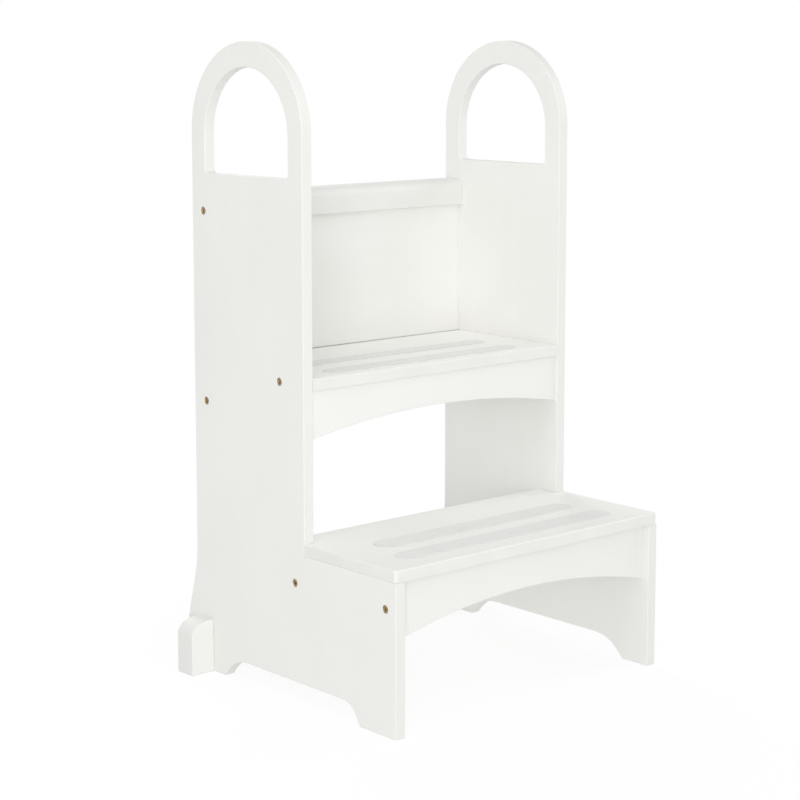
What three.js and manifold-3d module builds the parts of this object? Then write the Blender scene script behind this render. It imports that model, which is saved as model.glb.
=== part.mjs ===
// Two-step stool in painted wood: two tall side panels with looped hand holds, a wide lower step,
// an upper step between the panels, a low back rest with a rounded rail, and anti-tip feet.
// Millimetres. +Z is up, the front faces -Y, +X is to the right as seen from the front.
// The origin is on the floor, under the middle of the stool.
import * as THREE from "three";
import { mergeVertices } from "three/addons/utils/BufferGeometryUtils.js";
import Module from "manifold-3d";

const wasm = await Module();
wasm.setup();

// ---- Driving dimensions. Depths (Y) are counted from the front edge of the side panels. ----
const gap = 0.3; // between pieces that butt together
const panelThickness = 15;
const outsideWidth = 453; // over the outer faces of the side panels
const overallHeight = 813;
const overallDepth = 428; // front foot to the tip of the flared rear foot
const edgeRound = 1.5; // softened edges of every board

const lowerStepTop = 204;
const lowerStepBack = 204; // the tread runs in between the uprights
const upperStepTop = 407;
const boardThickness = 14.7;
const treadCorner = 5; // front corners of both treads, seen from above
const treadRound = 2.5;

const uprightFront = 169;
const uprightBack = 392.5;
const handHoleSide = 27.75; // width of the loop beside the hand hole
const handHoleBottom = 648.5;
const handHoleTop = 781.7;
const handHoleCorner = 6;

const cutoutHeight = 26.5; // floor to the underside of the panel between its feet
const cutoutFront = 97; // between these two depths the underside runs level
const cutoutBack = 285;
const frontFootLength = { left: 65.5, right: 44 };
const rearFootStart = 335;
const flareStart = 165; // height at which the rear edge begins to sweep back
const flareBend = { depth: 411, height: 73.6 }; // below it the rear edge runs straight to the floor

const lowerApronFront = 11.4;
const lowerApronEnds = 116;
const lowerApronCrown = 142.5;
const lowerRailFront = 180.8;
const lowerRailBottom = 129;
const upperApronFront = 173;
const upperApronEnds = 331;
const upperApronCrown = 351;
const upperRailFront = 360.6;
const upperRailBottom = 332;

const backPanelFront = 364.4;
const stepGrooveDepth = 4;
const railGrooveDepth = 8;
const topRailFront = 357;
const topRailBottom = 585.5;
const topRailTop = 621;
const topRailRound = { depth: 14, height: 12 };

const antiTipFoot = { front: 357.6, back: 390, width: 34.7, height: 70, round: 23, edge: 2.5 };
const gripStrip = { thickness: 0.8, lift: 0.1 };
const gripStrips = {
  lower_grip_strip_front: { length: 362, width: 34, x: 0, y: 47, top: lowerStepTop },
  lower_grip_strip_rear: { length: 335, width: 34, x: 3, y: 106, top: lowerStepTop },
  upper_grip_strip_front: { length: 325, width: 28, x: -3, y: 202, top: upperStepTop },
  upper_grip_strip_rear: { length: 322, width: 28, x: 0, y: 264, top: upperStepTop },
};

const bolt = { radius: 3, headRadius: 4.8, headHeight: 3, recess: 0.8, hexAcross: 4, hexDepth: 2 };
const barrelNut = { radius: 5, length: 12, inset: 30 };
const dowel = { radius: 4, length: 24, inPanel: 9.5 };
const treadDowel = { length: 20, inPanel: 11 };
const footScrew = { radius: 2, headRadius: 4, length: 38, headDepth: 0.6 };

// How much wider than the fixing each hole is, on the radius, and how much deeper
const boltClearance = 0.5;
const fitClearance = 0.3;
const dowelClearance = 0.15;
const endClearance = 0.5;

// ---- Derived dimensions ----
const outerX = outsideWidth / 2;
const innerX = outerX - panelThickness;
const railEnd = innerX - gap;
const panelMiddle = (innerX + outerX) / 2;
const lowerLedge = lowerStepTop - boardThickness - gap;
const upperLedge = upperStepTop - boardThickness - gap;
const sides = [
  { name: "left", sign: -1 },
  { name: "right", sign: 1 },
];

// ---- Materials ----
const paint = new THREE.MeshStandardMaterial({ color: 0xf0f0ea, roughness: 0.42, metalness: 0 });
const grip = new THREE.MeshStandardMaterial({ color: 0xd9d9d6, roughness: 0.85, metalness: 0 });
const zinc = new THREE.MeshStandardMaterial({ color: 0xb59a63, roughness: 0.35, metalness: 1 });
const beech = new THREE.MeshStandardMaterial({ color: 0xd8b98c, roughness: 0.7, metalness: 0 });

// ---- Solid modelling helpers ----
function toSolid(geometry) {
  const bare = geometry.clone();
  bare.deleteAttribute("normal");
  bare.deleteAttribute("uv");
  const merged = mergeVertices(bare, 1e-3);
  const vertProperties = new Float32Array(merged.attributes.position.array);
  const triVerts = new Uint32Array(merged.index.array);
  return new wasm.Manifold(new wasm.Mesh({ numProp: 3, vertProperties, triVerts }));
}

function toGeometry(solid) {
  const mesh = solid.getMesh();
  const geometry = new THREE.BufferGeometry();
  geometry.setAttribute("position", new THREE.BufferAttribute(mesh.vertProperties, 3));
  geometry.setIndex(new THREE.BufferAttribute(mesh.triVerts, 1));
  geometry.computeVertexNormals();
  return geometry;
}

function cut(geometry, cutters) {
  let solid = toSolid(geometry);
  for (const cutter of cutters) {
    solid = solid.subtract(toSolid(cutter));
  }
  return toGeometry(solid);
}

// Which way a flat shape's own u, v and thickness run when it is extruded along an axis.
const layouts = {
  x: new THREE.Matrix4().makeBasis(
    new THREE.Vector3(0, 1, 0),
    new THREE.Vector3(0, 0, 1),
    new THREE.Vector3(1, 0, 0),
  ),
  y: new THREE.Matrix4().makeBasis(
    new THREE.Vector3(1, 0, 0),
    new THREE.Vector3(0, 0, 1),
    new THREE.Vector3(0, -1, 0),
  ),
  z: new THREE.Matrix4(),
};

// A board cut to a shape, from one plane to another along an axis, with rounded edges.
function board(shape, axis, from, to, round = edgeRound, curveSegments = 10, bevelSegments = 1) {
  const geometry = new THREE.ExtrudeGeometry(shape, {
    depth: to - from - 2 * round,
    bevelEnabled: round > 0,
    bevelThickness: round,
    bevelSize: round,
    bevelOffset: -round,
    bevelSegments,
    curveSegments,
  });
  const start = axis === "y" ? -to : from;
  geometry.translate(0, 0, start + round);
  return geometry.applyMatrix4(layouts[axis]);
}

// A straight round bar or hole along an axis; a and b are its other two coordinates, in X, Y, Z order.
function rod(axis, radius, from, to, a, b, segments = 16) {
  const geometry = new THREE.CylinderGeometry(radius, radius, Math.abs(to - from), segments);
  const middle = (from + to) / 2;
  if (axis === "x") {
    return geometry.rotateZ(Math.PI / 2).translate(middle, a, b);
  }
  if (axis === "y") {
    return geometry.translate(a, middle, b);
  }
  return geometry.rotateX(Math.PI / 2).translate(a, b, middle);
}

function rectangle(left, bottom, right, top) {
  const shape = new THREE.Shape();
  shape.moveTo(left, bottom);
  shape.lineTo(right, bottom);
  shape.lineTo(right, top);
  shape.lineTo(left, top);
  shape.closePath();
  return shape;
}

// ---- The places where a bolt, its barrel nut and a dowel join a cross member to both panels ----
// nutFrom is the face that the nut's own hole is bored from.
const upperStepMiddle = upperStepTop - boardThickness / 2;
const joints = {
  top_rail: { y: 370, z: 600, nutFrom: "rear", dowel: { y: 383, z: 606 } },
  upper_rear_rail: { y: 368.1, z: 356, nutFrom: "rear", dowel: { y: 368.1, z: 378 } },
  upper_step: { y: 216.6, z: upperStepMiddle, nutFrom: "below", dowel: { y: 310, z: upperStepMiddle } },
  lower_rear_rail: { y: 188.3, z: 152.4, nutFrom: "rear", dowel: { y: 188.3, z: 175 } },
  lower_apron: { y: 18.9, z: 155, nutFrom: "rear", dowel: { y: 18.9, z: 176 } },
};
const upperApronDowel = { y: upperApronFront + panelThickness / 2, z: 374 };
const treadDowelDepths = { front: 45, rear: 130 };
const footScrewHeights = { lower: 18, upper: 50 };
const antiTipMiddle = (antiTipFoot.front + antiTipFoot.back) / 2;

// ---- Side panels ----
function panelOutline(frontFoot) {
  const archRadius = (uprightBack - uprightFront) / 2;
  const archHeight = overallHeight - archRadius;
  const archMiddle = (uprightBack + uprightFront) / 2;
  const outline = new THREE.Shape();
  outline.moveTo(0, 0);
  outline.lineTo(frontFoot, 0);
  const lean = cutoutFront - frontFoot;
  outline.bezierCurveTo(
    frontFoot + 0.19 * lean,
    0.4 * cutoutHeight,
    frontFoot + 0.4 * lean,
    cutoutHeight,
    cutoutFront,
    cutoutHeight,
  );
  outline.lineTo(cutoutBack, cutoutHeight);
  outline.bezierCurveTo(cutoutBack + 30, cutoutHeight, rearFootStart - 9, 10, rearFootStart, 0);
  outline.lineTo(overallDepth, 0);
  outline.lineTo(flareBend.depth, flareBend.height);
  outline.bezierCurveTo(
    flareBend.depth - 6.8,
    flareBend.height + 30,
    uprightBack,
    flareStart - 35,
    uprightBack,
    flareStart,
  );
  outline.lineTo(uprightBack, archHeight);
  outline.absarc(archMiddle, archHeight, archRadius, 0, Math.PI, false);
  outline.lineTo(uprightFront, lowerLedge);
  outline.lineTo(0, lowerLedge);
  outline.closePath();
  return outline;
}

function handHole() {
  const left = uprightFront + handHoleSide;
  const right = uprightBack - handHoleSide;
  const radius = (right - left) / 2;
  const middle = (left + right) / 2;
  const hole = new THREE.Path();
  hole.moveTo(left + handHoleCorner, handHoleBottom);
  hole.lineTo(right - handHoleCorner, handHoleBottom);
  hole.lineTo(right - 0.3 * handHoleCorner, handHoleBottom + 0.3 * handHoleCorner);
  hole.lineTo(right, handHoleBottom + handHoleCorner);
  hole.lineTo(right, handHoleTop - radius);
  hole.absarc(middle, handHoleTop - radius, radius, 0, Math.PI, false);
  hole.lineTo(left, handHoleBottom + handHoleCorner);
  hole.lineTo(left + 0.3 * handHoleCorner, handHoleBottom + 0.3 * handHoleCorner);
  hole.closePath();
  return hole;
}

function sidePanel(side) {
  const outline = panelOutline(frontFootLength[side.name]);
  outline.holes.push(handHole());
  const near = Math.min(side.sign * innerX, side.sign * outerX);
  const blank = board(outline, "x", near, near + panelThickness, edgeRound, 18);
  const s = side.sign;
  const holes = [];
  const seat = outerX - bolt.recess - bolt.headHeight - fitClearance;
  for (const { y, z } of Object.values(joints)) {
    holes.push(rod("x", bolt.radius + boltClearance, s * (innerX - 1), s * (outerX + 1), y, z));
    holes.push(rod("x", bolt.headRadius + fitClearance, s * seat, s * (outerX + 1), y, z));
  }
  const dowels = [...Object.values(joints).map((joint) => joint.dowel), upperApronDowel];
  const dowelBottom = innerX + dowel.inPanel + endClearance;
  for (const { y, z } of dowels) {
    holes.push(rod("x", dowel.radius + dowelClearance, s * (innerX - 1), s * dowelBottom, y, z));
  }
  const treadDowelBottom = lowerLedge - treadDowel.inPanel - 1;
  for (const depth of Object.values(treadDowelDepths)) {
    const radius = dowel.radius + dowelClearance;
    holes.push(rod("z", radius, treadDowelBottom, lowerLedge + 1, s * panelMiddle, depth));
  }
  for (const height of Object.values(footScrewHeights)) {
    const shank = footScrew.radius + fitClearance;
    const head = footScrew.headRadius + fitClearance;
    holes.push(rod("x", shank, s * (innerX - 1), s * (outerX + 1), antiTipMiddle, height));
    holes.push(rod("x", head, s * (innerX - 1), s * (innerX + 3), antiTipMiddle, height));
  }
  return cut(blank, holes);
}

// ---- Holes that a bolt, a barrel nut and a dowel need at both ends of a cross member ----
function endHoles({ y, z, nutFrom, dowel: pin }) {
  const holes = [];
  const boltTip = innerX - barrelNut.inset - 14;
  const nutRadius = barrelNut.radius + fitClearance;
  const nutEnd = barrelNut.length / 2 + endClearance;
  for (const { sign } of sides) {
    const nutX = sign * (innerX - barrelNut.inset);
    holes.push(rod("x", bolt.radius + boltClearance, sign * (innerX + 1), sign * boltTip, y, z));
    if (nutFrom === "rear") {
      holes.push(rod("y", nutRadius, y - nutEnd, y - nutEnd + 40, nutX, z));
    } else {
      holes.push(rod("z", nutRadius, z + nutEnd - 30, z + nutEnd, nutX, y));
    }
    holes.push(dowelHole(sign, pin));
  }
  return holes;
}

function dowelHole(sign, { y, z }) {
  const bottom = innerX - (dowel.length - dowel.inPanel) - endClearance;
  return rod("x", dowel.radius + dowelClearance, sign * (innerX + 1), sign * bottom, y, z);
}

// ---- Cross members ----
// An apron or rail across the stool; its lower edge rises from the ends to a crown.
function crossMember(front, endHeight, crown, top) {
  const shape = new THREE.Shape();
  shape.moveTo(-railEnd, endHeight);
  const rise = crown - endHeight;
  if (rise > 0) {
    const radius = (railEnd * railEnd + rise * rise) / (2 * rise);
    const half = Math.asin(railEnd / radius);
    shape.absarc(0, crown - radius, radius, Math.PI / 2 + half, Math.PI / 2 - half, true);
  } else {
    shape.lineTo(railEnd, endHeight);
  }
  shape.lineTo(railEnd, top);
  shape.lineTo(-railEnd, top);
  shape.closePath();
  return board(shape, "y", front, front + panelThickness, edgeRound, 16);
}

function lowerStepBoard() {
  const corner = treadCorner;
  const notch = uprightFront - 2 * gap;
  const shape = new THREE.Shape();
  shape.moveTo(-outerX + corner, 0);
  shape.lineTo(outerX - corner, 0);
  shape.absarc(outerX - corner, corner, corner, -Math.PI / 2, 0, false);
  shape.lineTo(outerX, notch);
  shape.lineTo(railEnd, notch);
  shape.lineTo(railEnd, lowerStepBack);
  shape.lineTo(-railEnd, lowerStepBack);
  shape.lineTo(-railEnd, notch);
  shape.lineTo(-outerX, notch);
  shape.lineTo(-outerX, corner);
  shape.absarc(-outerX + corner, corner, corner, Math.PI, 1.5 * Math.PI, false);
  shape.closePath();
  const bottom = lowerStepTop - boardThickness;
  const blank = board(shape, "z", bottom, lowerStepTop, treadRound, 4, 2);
  const inTread = treadDowel.length - treadDowel.inPanel;
  const holes = [];
  for (const { sign } of sides) {
    for (const depth of Object.values(treadDowelDepths)) {
      const radius = dowel.radius + dowelClearance;
      holes.push(rod("z", radius, bottom - 1, bottom + inTread + 1, sign * panelMiddle, depth));
    }
  }
  return cut(blank, holes);
}

function upperStepBoard() {
  const corner = treadCorner;
  const back = uprightBack - 0.8;
  const shape = new THREE.Shape();
  shape.moveTo(-railEnd + corner, uprightFront);
  shape.lineTo(railEnd - corner, uprightFront);
  shape.absarc(railEnd - corner, uprightFront + corner, corner, -Math.PI / 2, 0, false);
  shape.lineTo(railEnd, back);
  shape.lineTo(-railEnd, back);
  shape.lineTo(-railEnd, uprightFront + corner);
  shape.absarc(-railEnd + corner, uprightFront + corner, corner, Math.PI, 1.5 * Math.PI, false);
  shape.closePath();
  const blank = board(shape, "z", upperStepTop - boardThickness, upperStepTop, treadRound, 4, 2);
  return cut(blank, [backPanelGroove(upperStepTop, stepGrooveDepth), ...endHoles(joints.upper_step)]);
}

// The groove that the back panel stands in, cut to a depth on both sides of a face at this height
function backPanelGroove(height, depth) {
  const groove = new THREE.BoxGeometry(outsideWidth, panelThickness + 2 * gap, 2 * depth);
  return groove.translate(0, backPanelFront + panelThickness / 2, height);
}

function topRail() {
  const { depth, height } = topRailRound;
  const back = uprightBack - 0.5;
  const shape = new THREE.Shape();
  shape.moveTo(topRailFront, topRailBottom);
  shape.lineTo(back, topRailBottom);
  shape.lineTo(back, topRailTop);
  shape.lineTo(topRailFront + depth, topRailTop);
  shape.absellipse(topRailFront + depth, topRailTop - height, depth, height, Math.PI / 2, Math.PI, false);
  shape.closePath();
  const blank = board(shape, "x", -railEnd, railEnd, edgeRound, 10);
  return cut(blank, [backPanelGroove(topRailBottom, railGrooveDepth), ...endHoles(joints.top_rail)]);
}

function backPanel() {
  const end = innerX - 0.8;
  const bottom = upperStepTop - stepGrooveDepth + gap;
  const shape = rectangle(-end, bottom, end, topRailBottom + railGrooveDepth - gap);
  return board(shape, "y", backPanelFront, backPanelFront + panelThickness, 0.8);
}

// ---- Anti-tip foot: a short upright block outside the panel with a rounded outer shoulder ----
function antiTipBlock(side) {
  const { front, back, width, height, round, edge } = antiTipFoot;
  const near = outerX + gap;
  const far = near + width;
  const shape = new THREE.Shape();
  shape.moveTo(near, 0);
  shape.lineTo(far, 0);
  shape.lineTo(far, height - round);
  shape.absarc(far - round, height - round, round, 0, Math.PI / 2, false);
  shape.lineTo(near, height);
  shape.closePath();
  const blank = board(shape, "y", front, back, edge, 8);
  const screwTip = innerX + footScrew.headDepth + footScrew.length + 1;
  const holes = Object.values(footScrewHeights).map((z) =>
    rod("x", footScrew.radius + fitClearance, near - 1, screwTip, antiTipMiddle, z),
  );
  const geometry = cut(blank, holes);
  if (side.sign < 0) {
    geometry.rotateZ(Math.PI).translate(0, 2 * antiTipMiddle, 0);
  }
  return geometry;
}

// ---- Fixings, each modelled pointing along +X from its head at the origin ----
function turned(profile, segments) {
  const points = profile.map(([radius, along]) => new THREE.Vector2(radius, along));
  return new THREE.LatheGeometry(points, segments).rotateZ(Math.PI / 2);
}

const boltLength = panelThickness - bolt.recess + barrelNut.inset + 6;
const boltGeometry = cut(
  turned(
    [
      [0, -boltLength],
      [bolt.radius - 0.6, -boltLength],
      [bolt.radius, -boltLength + 0.6],
      [bolt.radius, -bolt.headHeight],
      [bolt.headRadius, -bolt.headHeight],
      [bolt.headRadius, -0.6],
      [bolt.headRadius - 0.6, 0],
      [0, 0],
    ],
    16,
  ),
  [rod("x", bolt.hexAcross / Math.sqrt(3), -1, bolt.hexDepth, 0, 0, 6)],
);

const nutHalf = barrelNut.length / 2;
const barrelNutGeometry = cut(rod("z", barrelNut.radius, -nutHalf, nutHalf, 0, 0, 20), [
  rod("x", bolt.radius + 0.2, -barrelNut.length, barrelNut.length, 0, 0),
]);

const dowelGeometry = turned(
  [
    [0, -dowel.length],
    [dowel.radius - 0.8, -dowel.length],
    [dowel.radius, -dowel.length + 0.8],
    [dowel.radius, -0.8],
    [dowel.radius - 0.8, 0],
    [0, 0],
  ],
  14,
);

const footScrewGeometry = cut(
  turned(
    [
      [0, -footScrew.length],
      [footScrew.radius, -footScrew.length + 6],
      [footScrew.radius, -2.4],
      [footScrew.headRadius, -0.6],
      [footScrew.headRadius, 0],
      [0, 0],
    ],
    16,
  ),
  [new THREE.BoxGeometry(2.4, 5, 1), new THREE.BoxGeometry(2.4, 1, 5)],
);

const treadDowelGeometry = rod("z", dowel.radius, 0, treadDowel.length, 0, 0, 14);

function stripGeometry(length, width) {
  const shape = new THREE.Shape();
  const half = length / 2 - width / 2;
  shape.moveTo(-half, -width / 2);
  shape.lineTo(half, -width / 2);
  shape.absarc(half, 0, width / 2, -Math.PI / 2, Math.PI / 2, false);
  shape.lineTo(-half, width / 2);
  shape.absarc(-half, 0, width / 2, Math.PI / 2, 1.5 * Math.PI, false);
  shape.closePath();
  return board(shape, "z", 0, gripStrip.thickness, 0, 8);
}

// ---- Assembly ----
const root = new THREE.Group();
const stool = new THREE.Group();
stool.name = "step_stool";
stool.position.y = -overallDepth / 2;
root.add(stool);

function add(name, geometry, material, place = [0, 0, 0], turn = [0, 0, 0]) {
  const mesh = new THREE.Mesh(geometry, material);
  mesh.name = name;
  mesh.position.set(...place);
  mesh.rotation.set(...turn);
  stool.add(mesh);
}

for (const side of sides) {
  add(`side_panel_${side.name}`, sidePanel(side), paint);
  add(`anti_tip_foot_${side.name}`, antiTipBlock(side), paint);
}
add("lower_step_board", lowerStepBoard(), paint);
add("upper_step_board", upperStepBoard(), paint);

const lowerApron = crossMember(lowerApronFront, lowerApronEnds, lowerApronCrown, lowerLedge);
const lowerRearRail = crossMember(lowerRailFront, lowerRailBottom, lowerRailBottom, lowerLedge);
const upperApron = crossMember(upperApronFront, upperApronEnds, upperApronCrown, upperLedge);
const upperRearRail = crossMember(upperRailFront, upperRailBottom, upperRailBottom, upperLedge);
add("lower_apron", cut(lowerApron, endHoles(joints.lower_apron)), paint);
add("lower_rear_rail", cut(lowerRearRail, endHoles(joints.lower_rear_rail)), paint);
add("upper_apron", cut(upperApron, sides.map(({ sign }) => dowelHole(sign, upperApronDowel))), paint);
add("upper_rear_rail", cut(upperRearRail, endHoles(joints.upper_rear_rail)), paint);
add("back_panel", backPanel(), paint);
add("top_rail", topRail(), paint);

for (const [name, { length, width, x, y, top }] of Object.entries(gripStrips)) {
  add(name, stripGeometry(length, width), grip, [x, y, top + gripStrip.lift]);
}

for (const { name, sign } of sides) {
  const inward = [0, 0, sign > 0 ? Math.PI : 0];
  const outward = [0, 0, sign > 0 ? 0 : Math.PI];
  const headX = sign * (outerX - bolt.recess);
  const nutX = sign * (innerX - barrelNut.inset);
  const dowelX = sign * (innerX + dowel.inPanel);
  const screwX = sign * (innerX + footScrew.headDepth);
  for (const [joint, { y, z, nutFrom, dowel: pin }] of Object.entries(joints)) {
    const nutTurn = nutFrom === "rear" ? [Math.PI / 2, 0, 0] : [0, 0, 0];
    add(`bolt_${joint}_${name}`, boltGeometry, zinc, [headX, y, z], inward);
    add(`barrel_nut_${joint}_${name}`, barrelNutGeometry, zinc, [nutX, y, z], nutTurn);
    add(`dowel_${joint}_${name}`, dowelGeometry, beech, [dowelX, pin.y, pin.z], inward);
  }
  const apronPin = [dowelX, upperApronDowel.y, upperApronDowel.z];
  add(`dowel_upper_apron_${name}`, dowelGeometry, beech, apronPin, inward);
  for (const [end, depth] of Object.entries(treadDowelDepths)) {
    const place = [sign * panelMiddle, depth, lowerLedge - treadDowel.inPanel];
    add(`dowel_lower_step_${end}_${name}`, treadDowelGeometry, beech, place);
  }
  for (const [level, height] of Object.entries(footScrewHeights)) {
    add(`foot_screw_${level}_${name}`, footScrewGeometry, zinc, [screwX, antiTipMiddle, height], outward);
  }
}

export default root;
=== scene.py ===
"""The look of a painted two-step stool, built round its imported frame.

The frame gives where every piece is. Each board, rail, foot, strip and fixing is made here again with
its real rounded edges, bored holes and finish, and stands for the plain solid that the frame holds there.
Sizes are named in millimetres, and MM turns them to metres. Depths are counted back from the front edge
of the side panels: depth() turns one into a place along Y.
"""

import math

import bmesh
import bpy
from mathutils import Matrix, Vector
from mathutils.geometry import tessellate_polygon


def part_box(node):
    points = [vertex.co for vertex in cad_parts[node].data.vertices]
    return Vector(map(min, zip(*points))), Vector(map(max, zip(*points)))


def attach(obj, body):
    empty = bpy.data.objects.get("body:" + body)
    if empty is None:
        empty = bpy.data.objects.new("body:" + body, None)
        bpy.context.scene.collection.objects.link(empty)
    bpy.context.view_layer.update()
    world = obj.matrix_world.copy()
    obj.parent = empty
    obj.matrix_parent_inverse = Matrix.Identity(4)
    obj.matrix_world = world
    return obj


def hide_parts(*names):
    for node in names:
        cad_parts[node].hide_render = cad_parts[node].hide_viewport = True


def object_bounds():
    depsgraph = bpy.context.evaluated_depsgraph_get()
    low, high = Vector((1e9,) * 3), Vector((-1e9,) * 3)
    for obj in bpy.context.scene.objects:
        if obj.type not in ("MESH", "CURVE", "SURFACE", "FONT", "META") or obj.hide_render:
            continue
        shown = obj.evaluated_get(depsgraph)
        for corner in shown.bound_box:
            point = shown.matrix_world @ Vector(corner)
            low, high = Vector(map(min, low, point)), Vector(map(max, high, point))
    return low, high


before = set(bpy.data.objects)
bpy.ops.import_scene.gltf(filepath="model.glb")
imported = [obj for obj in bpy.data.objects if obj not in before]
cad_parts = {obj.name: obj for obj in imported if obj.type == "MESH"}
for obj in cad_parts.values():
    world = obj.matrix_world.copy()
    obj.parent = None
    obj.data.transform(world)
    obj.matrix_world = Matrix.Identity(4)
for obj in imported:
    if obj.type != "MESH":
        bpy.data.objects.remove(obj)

cad_low, cad_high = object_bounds()

MM = 0.001

# ---- Sizes of the boards, in millimetres ----
UPRIGHT_FRONT = 169
UPRIGHT_BACK = 392.5
LOOP_WIDTH = 27.75
HAND_HOLE_BOTTOM = 648.5
HAND_HOLE_TOP = 781.7
HAND_HOLE_CORNER = 6
FRONT_FOOT_LENGTH = {"left": 65.5, "right": 44}
CUTOUT_HEIGHT = 26.5
CUTOUT_FRONT = 97
CUTOUT_BACK = 285
REAR_FOOT_START = 335
FLARE_BEND = (411, 73.6)
FLARE_START = 165
LOWER_ARCH = {"ends": 116, "crown": 142.5}
UPPER_ARCH = {"ends": 331, "crown": 351}
TREAD_CORNER = 5
RAIL_ROUND = {"depth": 14, "height": 12}
BACK_GAP = {"left": 1.4, "right": 0.3}
BACK_GAP_DEPTH = 2
TAPE_SUNK = 0.1

# How the curves of a side panel pull. The toe's two handles are parts of its way along and up; the others
# are (back, up) steps from the end that each handle belongs to, and the heel's corners from its tip.
TOE_HANDLES = ((0.19, 0.4), (0.4, 1.0))
CUTOUT_HANDLES = ((30, 0), (-9, 10))
HEEL_CORNERS = ((-4, 0), (-1, 1.2), (-0.6, 4))
FLARE_HANDLES = ((-6.8, 30), (0, -35))
# The shoulder of a foot block, as (inward, up) steps from its outer upper corner.
FOOT_SHOULDER = ((0, -19), (0.5, -9), (10, -1.5), (31, 0))

# How far each kind of board is rounded over. SEAM is the gap left here where boards meet, and FRAME_SEAM
# the wider one in the frame; the grooves for the back board are looser still.
PANEL_RIM = 1.2
CROSS_RIM = 0.8
END_RIM = 0.4
TREAD_RIMS = (0.8, 1.4)
FOOT_RIM = 1.4
TAPE_RIM = 0.3
SEAM = 0.06
FRAME_SEAM = 0.3
GROOVE_SLACK = 0.3
GROOVE_FRONT_SLACK = 0.8

# ---- Fixings and their bores: radii, lengths and depths in millimetres ----
BOLT_SHANK = 3.0
BOLT_HEAD = 4.8
BOLT_HEAD_HEIGHT = 3.0
BOLT_SOCKET_ACROSS = 4.0
BOLT_SOCKET_DEPTH = 2.0
BOLT_SEAT_DEPTH = 4.1
BOLT_BORE = 3.5
BOLT_BORE_DEPTH = 44
COUNTERBORE = 5.1
NUT_BORE = 5.3
NUT_END_ROOM = 0.5
NUT_TOP_ROOM = 0.4
NUT_THREAD = 3.2
DOWEL_BORE = 4.15
DOWEL_IN_BOARD = 15
DOWEL_IN_PANEL = 10
DOWEL_IN_LEDGE = 12
DOWEL_IN_TREAD = 10
SCREW_BORE = 2.3
SCREW_SINK = 2.2
SCREW_BORE_DEPTH = 26
SCREW_OVERRUN = 2
# How far one bore runs into the next, a drill past the face, and any other cutter past the wood.
BORE_OVERLAP = 1
OVERSHOOT = 4
CLEAR = 10

# An edge stays crisp past this angle, and the broad flats of boards and of fixings weigh this much in the
# shading. SHARP_CORNER holds back the point of a corner so sharp that it would run away.
CRISP_EDGE = math.radians(38)
BOARD_SHADING = 60
FIXING_SHADING = 50
SHARP_CORNER = 0.2


def depth(millimetres):
    """Where a depth from the front edge of the side panels falls along Y, in metres."""
    return cad_low.y + millimetres * MM


# ---- Flat outlines: lists of (u, v) points in metres, anticlockwise ----
def arc(centre_u, centre_v, radius, start, end, steps, radius_v=None):
    """Points along a circular or elliptic arc, its angles in degrees."""
    radius_v = radius if radius_v is None else radius_v
    points = []
    for i in range(steps + 1):
        turn = math.radians(start + (end - start) * i / steps)
        points.append((centre_u + radius * math.cos(turn), centre_v + radius_v * math.sin(turn)))
    return points


def sweep(p0, p1, p2, p3, steps):
    """Points along a cubic curve, its first point left out."""
    points = []
    for i in range(1, steps + 1):
        t = i / steps
        weights = ((1 - t) ** 3, 3 * t * (1 - t) ** 2, 3 * t * t * (1 - t), t**3)
        u = sum(w * p[0] for w, p in zip(weights, (p0, p1, p2, p3)))
        v = sum(w * p[1] for w, p in zip(weights, (p0, p1, p2, p3)))
        points.append((u, v))
    return points


def rounded_corner(corner_u, corner_v, radius, start, steps=6):
    """The arc that replaces a square outer corner; start is the angle at which the arc begins."""
    outward = math.radians(start + 45)
    centre_u = corner_u - radius * math.copysign(1, math.cos(outward))
    centre_v = corner_v - radius * math.copysign(1, math.sin(outward))
    return arc(centre_u, centre_v, radius, start, start + 90, steps)


def offset_loop(points, distance):
    """The closed loop moved into the material, which lies to its left."""
    moved = []
    count = len(points)
    for i in range(count):
        before, here, after = (Vector(points[(i + k) % count]) for k in (-1, 0, 1))
        first = (here - before).normalized()
        second = (after - here).normalized()
        first = Vector((-first.y, first.x))
        second = Vector((-second.y, second.x))
        shift = (first + second) * (distance / max(1 + first.dot(second), SHARP_CORNER))
        moved.append(tuple(here + shift))
    return moved


# ---- Solid pieces ----
PLACE = {
    "X": lambda u, v, w: (w, u, v),
    "Y": lambda u, v, w: (u, w, v),
    "Z": lambda u, v, w: (u, v, w),
}


def even_shading(piece, weight):
    """Keeps broad flats looking flat, and leaves the turn of the light to the narrow rounds."""
    even = piece.modifiers.new("even shading", "WEIGHTED_NORMAL")
    even.keep_sharp = True
    even.weight = weight


def finish_mesh(name, mesh):
    """A mesh as an object, shaded smooth between its sharp edges."""
    build = bmesh.new()
    build.from_mesh(mesh)
    bmesh.ops.recalc_face_normals(build, faces=build.faces)
    for face in build.faces:
        face.smooth = True
    for edge in build.edges:
        edge.smooth = len(edge.link_faces) == 2 and edge.calc_face_angle(0) < CRISP_EDGE
    build.to_mesh(mesh)
    build.free()
    piece = bpy.data.objects.new(name, mesh)
    bpy.context.scene.collection.objects.link(piece)
    even_shading(piece, BOARD_SHADING)
    return piece


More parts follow.
